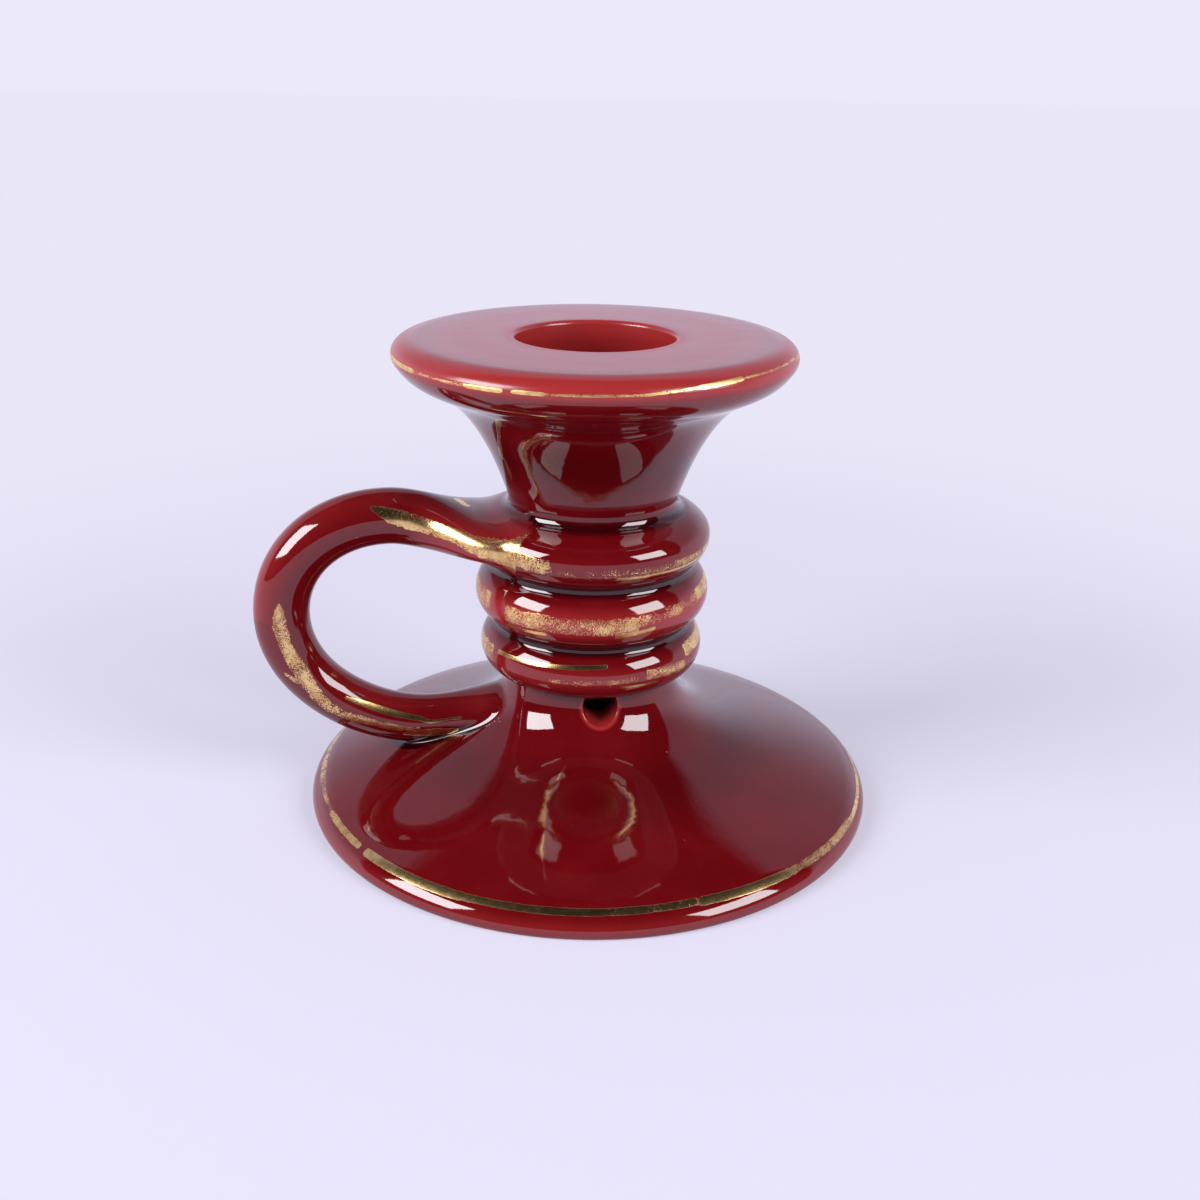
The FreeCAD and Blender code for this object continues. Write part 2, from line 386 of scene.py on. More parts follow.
def finished(name, mesh):
    """A scene object from a bmesh in millimetres, smooth but for its sharp edges."""
    bmesh.ops.scale(mesh, vec=(MM, MM, MM), verts=mesh.verts)
    for face in mesh.faces:
        face.smooth = True
    for edge in mesh.edges:
        edge.smooth = len(edge.link_faces) == 2 and edge.calc_face_angle() < SHARP_ANGLE
    open_edges = sum(1 for edge in mesh.edges if not edge.is_manifold)
    data = bpy.data.meshes.new(name)
    mesh.to_mesh(data)
    mesh.free()
    piece = bpy.data.objects.new(name, data)
    bpy.context.scene.collection.objects.link(piece)
    sizes = f"{len(data.vertices)} points, {len(data.polygons)} faces"
    print(name, sizes, open_edges, "open edges")
    return piece


# %% [markdown]
# ## Where the glaze is thin and where it pools, with painted light and shade
# A clear coloured glaze looks pale where it is thin, on a rim or an edge, and nearly black
# where it pools, in a crease. A vertex attribute records that: 1 where it pools, -1 where
# it has run off. The same attribute also holds painted light, a paler red on the coils'
# bellies and the pan's top, and painted shade, a darker red on the neck under the pan. The
# material reads it, so the change follows the form exactly.

# %% Glaze thickness, with painted light and shade
# Radius and height of each place, how far its effect reaches, and how thick the glaze is.
# On the rows marked as painted, the last number paints light below 0 and shade above 0.
GLAZE_AND_PAINTED_LIGHT_PLACES = (
    (PAN_RADIUS - 0.4, 73.4, 1.5, -0.8),
    (28.8, 75.0, 1.6, -0.5),
    (12.3, 74.7, 1.1, -0.9),
    (FOOT_RADIUS - 0.4, 1.4, 1.6, -0.45),
    (coil_faces[1][0].x, COIL_LOWS[1], 1.3, 1.0),
    (coil_faces[2][0].x, COIL_LOWS[2], 1.3, 1.0),
    (neck_corner[0].x, 48.6, 1.5, 0.9),
    (COLLAR_RADIUS, COLLAR_TOP, 1.0, 0.9),
    # Painted shade: a darker red on the neck, under the pan.
    (16.0, 59.0, 8.0, 0.55),
    # Painted light: a paler red on the pan's top, which faces the light.
    (20.0, 75.0, 9.0, -0.75),
    (12.0, 70.0, 5.0, -0.45),
    (24.0, 9.5, 9.0, 0.45),
    # Painted light: a paler red on the coils' bellies, where the soft boxes shine on them.
    (17.75, 26.0, 2.8, -0.5),
    (18.45, 35.3, 3.0, -0.75),
    (18.45, 44.0, 2.8, -0.3),
)


def glaze_depth_and_painted_light(spot):
    """How thick the glaze is at a place on the turned pieces, with painted light and shade
    added, from -1 to 1.
    """
    radius = math.hypot(spot.x, spot.y)
    depth = 0.0
    for place_radius, place_height, reach, amount in GLAZE_AND_PAINTED_LIGHT_PLACES:
        away = math.hypot(radius - place_radius, spot.z - place_height) / reach
        depth += amount * math.exp(-away ** 2)
    return max(-1.0, min(1.0, depth))


# %% [markdown]
# ## Where the gold went
# The gold is a lustre, brushed on after the glaze and fired again. Each stroke is a line
# that runs from one radius and height to another, over a range of angles. The angle is
# measured from the vent, towards the right as the camera sees it. Two attributes keep the
# strokes: gilt falls from 1 on a stroke's middle line to 0 at its edge, and worn says how
# much has rubbed away.

# %% Gold strokes on the turned pieces
# First radius and height, last radius and height, half width, first and last angle, wear.
GOLD_STROKES = (
    (44.0, 3.6, 44.0, 3.6, 0.40, -84, -72, 0.52),
    (44.0, 3.6, 44.1, 3.5, 0.55, -72, -57, 0.30),
    (44.1, 3.5, 44.2, 3.5, 0.72, -55.5, -30, 0.06),
    (44.1, 3.5, 43.9, 3.65, 0.60, -30, 14, 0.22),
    (44.0, 3.6, 44.3, 3.35, 0.72, 14, 34, 0.06),
    (44.3, 3.35, 44.7, 3.0, 0.65, 34, 60, 0.46),
    (44.8, 2.95, 44.8, 2.95, 0.40, 60, 95, 0.35),
    (44.5, 3.2, 44.1, 3.5, 0.70, 95, 276, 0.50),
    (30.34, 72.85, 30.34, 72.85, 0.36, -84, -62, 0.20),
    (30.34, 72.85, 30.34, 72.8, 0.22, -62, -41, 0.55),
    (30.34, 72.8, 30.34, 72.8, 0.32, -41, -30, 0.12),
    (30.34, 72.9, 30.34, 72.9, 0.30, -28, -19, 0.16),
    (30.34, 72.9, 30.32, 73.0, 0.19, -19, 6, 0.42),
    (30.32, 73.0, 30.15, 73.5, 0.21, 6, 20, 0.40),
    (30.15, 73.5, 29.95, 73.85, 0.38, 20, 35, 0.12),
    (29.95, 73.85, 29.9, 73.9, 0.20, 35, 66, 0.45),
    (30.1, 73.6, 30.34, 72.9, 0.28, 66, 276, 0.50),
    (16.5, 58.6, 22.9, 66.6, 0.90, -62, -42, 0.20),
    (18.45, 45.0, 18.42, 44.1, 1.30, -52, -26, 0.42),
    (18.35, 43.7, 18.32, 43.5, 0.85, -30, 35, 0.66),
    (18.38, 43.8, 18.38, 43.8, 0.70, 35, 100, 0.50),
    (18.15, 42.9, 18.15, 42.9, 0.22, 4, 66, 0.15),
    (18.3, 35.9, 18.3, 35.9, 1.60, -110, -64, 0.50),
    (18.45, 35.5, 18.45, 35.3, 1.40, -52, 16, 0.50),
    (18.4, 36.0, 18.3, 36.6, 0.95, 16, 55, 0.62),
    (18.15, 37.0, 18.0, 37.4, 1.00, 55, 110, 0.40),
    (18.0, 33.2, 18.15, 33.6, 0.32, -52, -28, 0.05),
    (18.17, 33.7, 18.35, 34.4, 0.34, 5, 25, 0.05),
    (17.65, 26.8, 17.65, 26.8, 1.40, -110, -66, 0.50),
    (17.5, 27.7, 17.1, 28.5, 0.36, -62, 2, 0.18),
    (17.72, 25.8, 17.75, 26.2, 0.50, -28, 18, 0.64),
    (17.74, 26.5, 17.74, 26.0, 0.90, 22, 50, 0.50),
    (17.35, 28.0, 17.2, 28.3, 1.10, 50, 110, 0.40),
    (17.63, 25.1, 17.54, 24.9, 0.25, 8, 30, 0.10),
)
# Degrees in which a stroke tapers off at its ends.
STROKE_END = 1.5
# How far from its middle line a stroke is still written, in half widths.
STROKE_REACH = 2


def gold(spot):
    """How far inside a stroke a place is, and how worn that stroke is."""
    radius = math.hypot(spot.x, spot.y)
    angle = math.degrees(math.atan2(spot.x, -spot.y))
    best = (-1.0, 1.0)
    for first_r, first_z, last_r, last_z, half, first, last, worn in GOLD_STROKES:
        span = last - first
        turn = (angle - first + 180 - span / 2) % 360 - 180 + span / 2
        share = min(1.0, max(0.0, turn / span))
        away = math.hypot(
            radius - first_r - (last_r - first_r) * share,
            spot.z - first_z - (last_z - first_z) * share,
        )
        if away < STROKE_REACH * half:
            inside = min(1 - away / half, turn / STROKE_END, (span - turn) / STROKE_END)
            best = max(best, (inside, worn))
    return best


def painted(mesh, depth=glaze_depth_and_painted_light):
    """Write the glaze's thickness, with its painted light and shade, and the gold strokes into a
    bmesh's points.
    """
    # pool holds the glaze's depth and the painted light and shade.
    pool = mesh.verts.layers.float.new("pool")
    gilt = mesh.verts.layers.float.new("gilt")
    worn = mesh.verts.layers.float.new("worn")
    for vert in mesh.verts:
        vert[pool] = depth(vert.co)
        vert[gilt], vert[worn] = gold(vert.co)
    return mesh


print(len(GLAZE_AND_PAINTED_LIGHT_PLACES), "places of thin or thick glaze,", len(GOLD_STROKES), "gold strokes")


# %% [markdown]
# ## The vent
# A hollow pot needs a hole, or it bursts in the kiln. This one was pierced through the
# collar while the clay was soft. A Boolean would cut it, but leaves ragged faces round the
# edge. Here a window of faces comes out, and rings grow from its border towards the hole.
# Each ring lies on the pot's own surface, so the lip can roll in without a flaw.

# %% Vent measures
VENT_HEIGHT = 19.9
VENT_RADIUS = 2.7
VENT_LIP = 0.28
VENT_WINDOW = 4.3
INNER_WINDOW = 3.6
INNER_LIP = 0.15


def surface_radius(face, height):
    """Radius of an outline at one height."""
    for low, high in zip(face, face[1:]):
        if min(low.z, high.z) <= height <= max(low.z, high.z) and low.z != high.z:
            return low.x + (high.x - low.x) * (height - low.z) / (high.z - low.z)
    return face[-1].x


def ring_from(mesh, edges, move):
    """Extrude a border once, and place each new point from its old one."""
    made = bmesh.ops.extrude_edge_only(mesh, edges=edges)["geom"]
    for vert in [item for item in made if isinstance(item, bmesh.types.BMVert)]:
        vert.co = move(vert.co)
    return [item for item in made if isinstance(item, bmesh.types.BMEdge)
            and item.is_boundary]


# %% [markdown]
# ## Piercing one wall
# The collar's outer and inner wall are opened by the same steps. The faces round the hole
# go, a few rings close in on a true circle, and the last rings turn into the wall as a
# rounded lip. Afterwards the two throats are bridged.

# %% Pierce a wall
WINDOW_DEPTH = 0.3
GROWING_RINGS = 5
LIP_RINGS = 7


def pierced(mesh, face, window, lip, inwards):
    """Open a round hole in one turned surface, and return the edges round its throat."""
    def in_window(polygon):
        middle = polygon.calc_center_median()
        depth = math.hypot(middle.x, middle.y) - surface_radius(face, middle.z)
        inside = abs(middle.x) < window and abs(middle.z - VENT_HEIGHT) < window
        return abs(depth) < WINDOW_DEPTH and inside and middle.y < 0

    gone = [polygon for polygon in mesh.faces if in_window(polygon)]
    border = {edge for polygon in gone for edge in polygon.edges}
    bmesh.ops.delete(mesh, geom=gone, context="FACES")
    edges = [edge for edge in border if edge.is_valid and edge.is_boundary]
    rim_radius = VENT_RADIUS + lip

    def placed(spot, distance, depth):
        turn = math.atan2(spot.z - VENT_HEIGHT, spot.x)
        x = distance * math.cos(turn)
        z = VENT_HEIGHT + distance * math.sin(turn)
        surface = surface_radius(face, z)
        return Vector((x, -math.sqrt(surface ** 2 - x ** 2) + inwards * depth, z))

    for ring in range(1, GROWING_RINGS + 1):
        share = 1 / (GROWING_RINGS + 1 - ring)

        def closer(spot, share=share):
            distance = math.hypot(spot.x, spot.z - VENT_HEIGHT)
            return placed(spot, distance + (rim_radius - distance) * share, 0)

        edges = ring_from(mesh, edges, closer)
    for ring in range(1, LIP_RINGS + 1):
        bend = math.pi / 2 * ring / LIP_RINGS
        distance = rim_radius - lip * math.sin(bend)
        depth = lip * (1 - math.cos(bend))
        edges = ring_from(mesh, edges, lambda spot: placed(spot, distance, depth))
    return edges


# %% [markdown]
# ## The foot
# The foot is turned as one closed piece. Its collar runs on a little way inside the first
# coil, so no gap can open where the two meet. The bore comes out of the same outline.

# %% Foot piece
STUB_RISE = 3.2
STUB_STEPS = 5
BORE_STEPS = (21.0, 20.0, 19.0)

STUB_TOP = COLLAR_TOP + STUB_RISE
stub = [
    COLLAR_TOP + (STUB_TOP - COLLAR_TOP) * step / STUB_STEPS
    for step in range(1, STUB_STEPS + 1)
]
bell_outline = joined(
    bell_face,
    [at(COLLAR_RADIUS, height) for height in stub],
    [at(BORE_RADIUS, height) for height in [*reversed(stub), COLLAR_TOP, *BORE_STEPS]],
    bell_hollow[:-1],
)
bell = turned(bell_outline, True)
bell_side = joined(bell_face, [at(COLLAR_RADIUS, STUB_TOP)])
bore_side = joined([at(BORE_RADIUS, STUB_TOP)], bell_hollow[:-1])
outer_throat = pierced(bell, bell_side, VENT_WINDOW, VENT_LIP, 1)
inner_throat = pierced(bell, bore_side, INNER_WINDOW, INNER_LIP, -1)
bmesh.ops.bridge_loops(bell, edges=outer_throat + inner_throat)
bmesh.ops.recalc_face_normals(bell, faces=bell.faces)
print("edges round the vent's throats", len(outer_throat), len(inner_throat))

# %% [markdown]
# ## Glaze on the foot
# A sharp lip sheds its glaze, so the vent has a paler ring. It is worked out from the
# distance to the hole and taken off the thickness that the rest of the foot has.

# %% Glaze the foot
VENT_GLAZE_REACH = 0.45
VENT_GLAZE_LOSS = 0.95


def bell_glaze(spot):
    """The foot's glaze, thin round the vent's lip as well."""
    depth = glaze_depth_and_painted_light(spot)
    if spot.y > 0:
        return depth
    from_lip = math.hypot(spot.x, spot.z - VENT_HEIGHT) - VENT_RADIUS - VENT_LIP / 3
    away = from_lip / VENT_GLAZE_REACH
    return max(-1.0, depth - VENT_GLAZE_LOSS * math.exp(-away ** 2))


base_bell = finished("foot_glazed", painted(bell, bell_glaze))

# %% [markdown]
# ## Coils, pan and socket
# The rest of the turned pieces close on themselves inside the stem, where nobody looks.
# Each visible side runs a fraction into its neighbour, so the seams are only lines in a
# crease, as on the real pot.

# %% Turned pieces of the stem and the pan
SEAM_TUCK = 0.3
SEAM_NARROWS = at(-0.05, 0)
NECK_TUCK = 0.3
CUP_CORNER = 3.1

coils = []
for node, face in zip(COIL_NODES, coil_faces):
    low, high = face[0] + SEAM_NARROWS, face[-1] + SEAM_NARROWS
    tucks = [high + at(0, SEAM_TUCK), at(STEM_RADIUS, high.z + SEAM_TUCK)]
    tucks += [at(STEM_RADIUS, low.z - SEAM_TUCK), low - at(0, SEAM_TUCK)]
    mesh = turned(joined(face, tucks), True)
    coils.append(finished(node + "_glazed", painted(mesh)))

NECK_BOTTOM = COIL_TOPS[2] - SAG
CUP_SHOULDER = CUP_BOTTOM + CUP_CORNER
cup_side = arc(at(CUP_RADIUS - CUP_CORNER, CUP_SHOULDER), CUP_CORNER, 0, -90, 8)
pan_outline = joined(
    [at(BORE_RADIUS, NECK_BOTTOM), at(NECK_START.x - NECK_TUCK, NECK_BOTTOM)],
    pan_face,
    [at(CUP_RADIUS, PAN_TOP)],
    cup_side,
    [at(BORE_RADIUS, CUP_BOTTOM)],
)
drip_pan = finished("pan_glazed", painted(turned(pan_outline, True)))
socket_outline = joined(list(reversed(socket_face)), cup_side, [at(0, CUP_BOTTOM)])
candle_socket = finished("socket_glazed", painted(turned(socket_outline, False)))

# %% [markdown]
# ## The finger loop
# The loop is one more roll of clay. It leaves the upper coil as a wide flare, bends round
# in nearly a circle, and lies down on the bell up to the collar. Its centre line is four
# Bezier curves, level or upright at the crown, the widest place and the lowest place. The
# three outer places follow the frame's box, less half of the roll.

# %% Centre line of the loop
LOOP_LOW, LOOP_HIGH = box_mm("finger_loop")
CROWN_HALF = 4.4
WIDEST_HALF = 4.35
LOWEST_HALF = 3.95
REACH = -LOOP_LOW.x - WIDEST_HALF
CROWN = LOOP_HIGH.z - CROWN_HALF
LOWEST = LOOP_LOW.z + LOWEST_HALF

root = at(9.5, 45.2)
crown = at(31.4, CROWN)
widest = at(REACH, 31.3)
lowest = at(26.4, LOWEST)
collar_end = at(11.0, 14.2)
# Each place, and how far it pulls the curve that arrives and the curve that leaves.
ROUTE = (
    (root, at(0, 0), at(8.0, -1.9)),
    (crown, at(-4.9, 0), at(10.2, 0)),
    (widest, at(0, 9.1), at(0, -10.8)),
    (lowest, at(11.2, 0), at(-4.6, 0)),
    (collar_end, at(4.0, -0.5), at(0, 0)),
)
ROUTE_POINTS = 200

centre_line = joined(*(
    curve(start, start + leaving, end + arriving, end, ROUTE_POINTS)
    for (start, _, leaving), (end, arriving, _) in zip(ROUTE, ROUTE[1:])
))
lengths = [0.0]
for before, after in zip(centre_line, centre_line[1:]):
    lengths.append(lengths[-1] + (after - before).length)
print("loop length", round(lengths[-1], 1), "mm")
print("loop's middle reaches", round(REACH, 2), "out and", round(CROWN, 2), "up")


def station(share):
    """Middle of the loop, and its direction, at a share of its length."""
    target = share * lengths[-1]
    index = min(max(1, bisect_left(lengths, target)), len(lengths) - 1)
    before, after = centre_line[index - 1], centre_line[index]
    part = (target - lengths[index - 1]) / (lengths[index] - lengths[index - 1])
    return before.lerp(after, part), (after - before).normalized()


# %% [markdown]
# ## Section of the loop
# The roll's half thickness changes slowly along the way. Towards each end it flares, as the
# clay was smeared out to hold on, and at the root it gets thinner too. A superellipse, whose
# power grows with the flare, turns the round section into a flatter one.

# %% Section of the loop
LOOP_HALVES = (4.35, 4.35, CROWN_HALF, WIDEST_HALF, 4.1, LOWEST_HALF, 4.35)
# Radii where a flare starts and is full, how much it widens and how much it thins the roll.
ROOT_FLARE = (28.5, 15.5, 7.0, 1.1)
COLLAR_FLARE = (24.0, 14.0, 1.6, 0.0)
FLATTENING = 0.25


def half_thickness(share):
    """Half thickness of the roll, eased between evenly spaced stations."""
    place = share * (len(LOOP_HALVES) - 1)
    index = min(int(place), len(LOOP_HALVES) - 2)
    eased = step_up(place - index, 0, 1)
    return LOOP_HALVES[index] + (LOOP_HALVES[index + 1] - LOOP_HALVES[index]) * eased


def flared(share, radius):
    """Half width and half thickness of the roll, which flares towards both of its ends."""
    round_half = half_thickness(share)
    start, full, growth, thinning = ROOT_FLARE if share < 0.5 else COLLAR_FLARE
    part = step_up(-radius, -start, -full)
    return round_half + growth * part, round_half - thinning * part


def rolled(around, along):
    """A place on the loop's surface, from shares of the turn round it and of its length."""
    middle, direction = station(along)
    wide, thick_and_shaded = flared(along, middle.x)
    power = 2 / (2 + FLATTENING * (wide / thick_and_shaded - 1))
    turn = math.tau * around
    across = math.copysign(abs(math.cos(turn)) ** power, math.cos(turn)) * wide
    up = math.copysign(abs(math.sin(turn)) ** power, math.sin(turn)) * thick_and_shaded
    normal = at(-direction.z, direction.x)
    spot = middle + normal * up
    return Vector((-spot.x, across, spot.z))


# %% [markdown]
# ## Gold on the loop
# The loop's strokes were pulled along the roll, so they can't be written as radii and
# heights. Each is a chain of places on the surface instead, given by the share of the
# loop's length and the turn round it, and the nearest stretch of a chain counts.

# %% Gold strokes on the loop
# Wear of each stroke, then its places: share of the loop's length, turn and half width.
LOOP_STROKES = (
    (0.38, (0.252, 0.40, 0.4), (0.2275, 0.45, 1.25), (0.1975, 0.475, 1.35),
     (0.1675, 0.475, 1.25), (0.1275, 0.467, 1.15), (0.105, 0.475, 1.5), (0.0825, 0.48, 1.8),
     (0.0375, 0.5, 1.8), (0.0, 0.5, 1.6)),
    (0.47, (0.468, 0.495, 0.3), (0.48, 0.5, 0.85), (0.505, 0.5, 1.2), (0.5425, 0.515, 1.0),
     (0.57, 0.52, 1.2), (0.6025, 0.515, 1.3), (0.635, 0.49, 1.2), (0.6675, 0.467, 1.0),
     (0.6925, 0.467, 0.8), (0.7225, 0.485, 0.7), (0.7575, 0.492, 0.6), (0.7925, 0.492, 0.5),
     (0.82, 0.498, 0.35)),
    (0.12, (0.685, 0.575, 0.25), (0.70, 0.583, 0.4), (0.735, 0.592, 0.6), (0.78, 0.583, 0.55),
     (0.8225, 0.567, 0.4), (0.84, 0.545, 0.3), (0.8925, 0.558, 0.22)),
    (0.30, (0.80, 0.45, 0.35), (0.84, 0.467, 0.8), (0.8725, 0.467, 0.6), (0.885, 0.48, 0.3)),
    (0.35, (0.1275, 0.225, 0.8), (0.115, 0.25, 0.9)),
    (0.45, (0.585, 0.43, 0.35), (0.605, 0.46, 0.4)),
)
loop_strokes = [
    (wear, [(rolled(around, along), half) for along, around, half in places])
    for wear, *places in LOOP_STROKES
]


def loop_gold(spot):
    """How far inside a stroke on the loop a place is, and how worn that stroke is."""
    best = (-1.0, 1.0)
    for wear, places in loop_strokes:
        for (start, start_half), (end, end_half) in zip(places, places[1:]):
            way = end - start
            share = min(1.0, max(0.0, (spot - start).dot(way) / way.length_squared))
            away = (spot - start - way * share).length
            best = max(best, (1 - away / (start_half + (end_half - start_half) * share), wear))
    return best


print(len(loop_strokes), "gold strokes on the loop")

# %% [markdown]
# ## Rolling the loop
# A curve object with a bevel could sweep a round section along the line, but its radius
# makes the roll wider and thicker alike. Here a flat grid is rolled round the centre line
# instead: one side of the grid goes round the section and the other along the loop.
# Merging closes the seam, and filling the two holes closes the ends.

# %% Roll the grid round the centre line
LOOP_AROUND = 132
LOOP_ALONG = 440
LOOP_MERGE = 0.002

loop = bmesh.new()
bmesh.ops.create_grid(loop, x_segments=LOOP_AROUND, y_segments=LOOP_ALONG, size=0.5)
along_layer, pool, gilt, worn = [
    loop.verts.layers.float.new(name) for name in ("along", "pool", "gilt", "worn")
]
for vert in loop.verts:
    around, along = vert.co.x + 0.5, vert.co.y + 0.5
    vert[along_layer] = along
    vert.co = rolled(around, along)
    vert[gilt], vert[worn] = loop_gold(vert.co)
bmesh.ops.remove_doubles(loop, verts=loop.verts, dist=LOOP_MERGE)
bmesh.ops.holes_fill(loop, edges=[edge for edge in loop.edges if edge.is_boundary])
bmesh.ops.recalc_face_normals(loop, faces=loop.faces)
print("loop", len(loop.verts), "points before it is luted on")

# %% [markdown]
# ## Luting the loop on
# A potter sticks the roll on with slip and smooths the corner, and the glaze rounds it
# further. In numbers: near the body, each point of the roll moves out of the corner until
# the square roots of its distances from the body and from the roll add up to a constant.
# That curve touches both surfaces, so no seam shows. A search tree gives the distances.

# %% Search trees of the body
SEARCH_TURNS = 180
COIL_BACK = -150
upper_coil, upper_section = coil_circles[2]
upper_side = joined(
    sagged(arc(upper_coil, upper_section, COIL_BACK, heading(neck_corner[-1] - upper_coil), 60)),
    pan_face,
)
lower_side = joined([at(0, 0)], bell_face, coil_faces[0])


def search_tree(outline):
    body = turned(outline, False, SEARCH_TURNS)
    tree = BVHTree.FromBMesh(body)
    body.free()
    return tree


# The tree to search and how far the luting reaches, at the upper root and at the lower end.
UPPER_ROOT = (search_tree(upper_side), 2.0)
LOWER_END = (search_tree(lower_side), 0.9)
print("searched outlines", len(upper_side), "and", len(lower_side), "points")

# %% [markdown]
# ## Finding the luted place
# Halving an interval fourteen times finds the place on the curve to less than a thousandth
# of a millimetre. Points far from the body, deep inside it or facing straight into it stay
# where they are.

# %% Luting
SEARCH_STEPS = 14
DEEPEST = 2
OPPOSED = -0.93


def above_body(tree, spot):
    """Distance from the body's surface, less than 0 inside it, and the way out."""
    nearest, normal, _, _ = tree.find_nearest(spot)
    return (spot - nearest).dot(normal), normal


def luted(spot, normal, tree, reach):
    """Where a point of the roll goes once slip and glaze fill the corner."""
    height, way_out = above_body(tree, spot)
    if height > reach or height < -DEEPEST * reach or normal.dot(way_out) < OPPOSED:
        return spot
    direction = (normal + way_out).normalized()
    climb = direction.dot(normal)
    low, high = 0.0, reach / climb
    for _ in range(SEARCH_STEPS):
        middle = (low + high) / 2
        over_body = above_body(tree, spot + direction * middle)[0]
        total = math.sqrt(max(0.0, over_body)) + math.sqrt(climb * middle)
        if total < math.sqrt(reach):
            low = middle
        else:
            high = middle
    return spot + direction * high


# %% [markdown]
# ## Glaze on the loop
# All points are moved only after all places are known, so that none is measured from a
# shape that is half done. The corner then holds a pool of glaze, which fades as the roll
# leaves the body, and the rest of the roll is a little thin, because the glaze ran off it.

# %% Lute the loop and glaze it
LOOP_THIN = 0.6
CORNER_GAIN = 0.8
CORNER_REACH = 1.3

loop.normal_update()
places = []
for vert in loop.verts:
    tree, reach = UPPER_ROOT if vert[along_layer] < 0.5 else LOWER_END
    places.append((vert, luted(vert.co, vert.normal, tree, reach), tree))
for vert, place, tree in places:
    over, way_out = above_body(tree, place)
    corner = min(1.0, CORNER_GAIN * (1 - vert.normal.dot(way_out)))
    pooled = corner * math.exp(-(over / CORNER_REACH) ** 2)
    # The depth from the body's places brings their painted light and shade onto the loop too.
    vert[pool] = glaze_depth_and_painted_light(place) + pooled - LOOP_THIN * (1 - corner)
    vert.co = place
print("loop points in a pool of glaze:", sum(1 for vert, _, _ in places if vert[pool] > 0))
finger_loop = finished("loop_glazed", loop)

# %% [markdown]
# ## Shader sums
# A material's pattern is mostly arithmetic. Written node by node it is hard to read, so a
# small class wraps a socket and lets Python's own operators add the Math nodes. Every
# other node comes from one method, with its settings first and then its inputs.

# %% A socket that can be used in sums
class Wire:
    """A socket of a node tree."""

    def __init__(self, tree, socket=None):
        self.tree = tree
        self.socket = socket

    def node(self, kind, settings, inputs, output=0):
        """Add a node: its settings, then the numbers or wires that go into its sockets."""
        made = self.tree.nodes.new(kind)
        for name, value in settings.items():
            setattr(made, name, value)
        for name, value in inputs.items():
            if isinstance(value, Wire):
                self.tree.links.new(value.socket, made.inputs[name])
            else:
                made.inputs[name].default_value = value
        return Wire(self.tree, made.outputs[output])

    def math(self, operation, *values):
        return self.node("ShaderNodeMath", {"operation": operation}, dict(enumerate(values)))

    def __add__(self, other):
        return self.math("ADD", self, other)

    def __sub__(self, other):
        return self.math("SUBTRACT", self, other)

    def __rsub__(self, other):
        return self.math("SUBTRACT", other, self)

    def __mul__(self, other):
        return self.math("MULTIPLY", self, other)

    def __truediv__(self, other):
        return self.math("DIVIDE", self, other)

    __radd__ = __add__
    __rmul__ = __mul__

    def rise(self, low, high):
        """0 below low, 1 above high, and a smooth step between."""
        return self.node(
            "ShaderNodeMapRange", {"interpolation_type": "SMOOTHSTEP"},
            {"Value": self, "From Min": low, "From Max": high},
        )

    def mix(self, first, second):
        """One colour where this is 0, the other where it is 1."""
        return self.node(
            "ShaderNodeMix", {"data_type": "RGBA"}, {0: self, 6: first, 7: second}, 2
        )


# %% [markdown]
# ## Patterns
# Every pattern is read from the object's own coordinates, so it stays on the surface from
# any side. A noise is asked for by the size of its spots in millimetres.

# %% Noise, specks and painted attributes
def noise(start, size, detail=2.0, offset=0.0):
    coordinates = start.node("ShaderNodeTexCoord", {}, {}, "Object")
    moved = start.node(
        "ShaderNodeMapping", {}, {"Vector": coordinates, "Location": (offset, offset, offset)}
    )
    return start.node(
        "ShaderNodeTexNoise", {}, {"Vector": moved, "Scale": 1 / (size * MM), "Detail": detail}
    )


def specks(start, spacing, size, share):
    """Small round dots, about one in a cell, left in only a share of the cells."""
    coordinates = start.node("ShaderNodeTexCoord", {}, {}, "Object")
    settings = {"feature": "F1"}
    inputs = {"Vector": coordinates, "Scale": 1 / (spacing * MM)}
    away = start.node("ShaderNodeTexVoronoi", settings, inputs, "Distance")
    colour = start.node("ShaderNodeTexVoronoi", settings, inputs, "Color")
    pick = start.node("ShaderNodeSeparateColor", {}, {0: colour})
    chosen = start.math("LESS_THAN", pick, share)
    return chosen * (1 - away.rise(size / spacing * 0.6, size / spacing))


def attribute(start, name):
    return start.node("ShaderNodeAttribute", {"attribute_name": name}, {}, "Fac")


# %% [markdown]
# ## Colours
# The glaze is a deep transparent red over pale clay. It looks crimson at its usual depth,
# paler where it is thin and nearly black where it pools. The pale red also paints light on
# the coils and the pan's top, and the nearly black red paints shade on the neck. Colours are
# in linear light, so they are darker numbers than a colour picker shows.

# %% Colours and surface values
DEEP_RED = (0.105, 0.0016, 0.0032, 1)
# Thin glaze, and painted light on the coils' bellies and the pan's top.
THIN_AND_LIT_RED = (0.31, 0.020, 0.020, 1)
# Pooled glaze, and painted shade on the neck.
POOLED_AND_SHADED_RED = (0.018, 0.0003, 0.0010, 1)
SPECK_PINK = (0.50, 0.10, 0.10, 1)
GOLD = (0.95, 0.66, 0.30, 1)
GOLD_BROWN = (0.52, 0.28, 0.06, 1)
CLAY = (0.55, 0.43, 0.33, 1)
PALE_CLAY = (0.68, 0.57, 0.46, 1)
GLAZE_IOR = 1.58
CLOUDS_LIGHTEN = 0.09
MOTTLE_LIGHTENS = 0.05
# Roughness of the whole glaze, and what thin glaze and painted light, bare clay, specks and gold
# add.
ROUGHNESS = {"glaze": 0.045, "thin_and_lit": 0.2, "bare": 0.7, "speck": 0.2, "gold": 0.06, "rubbed": 0.2}
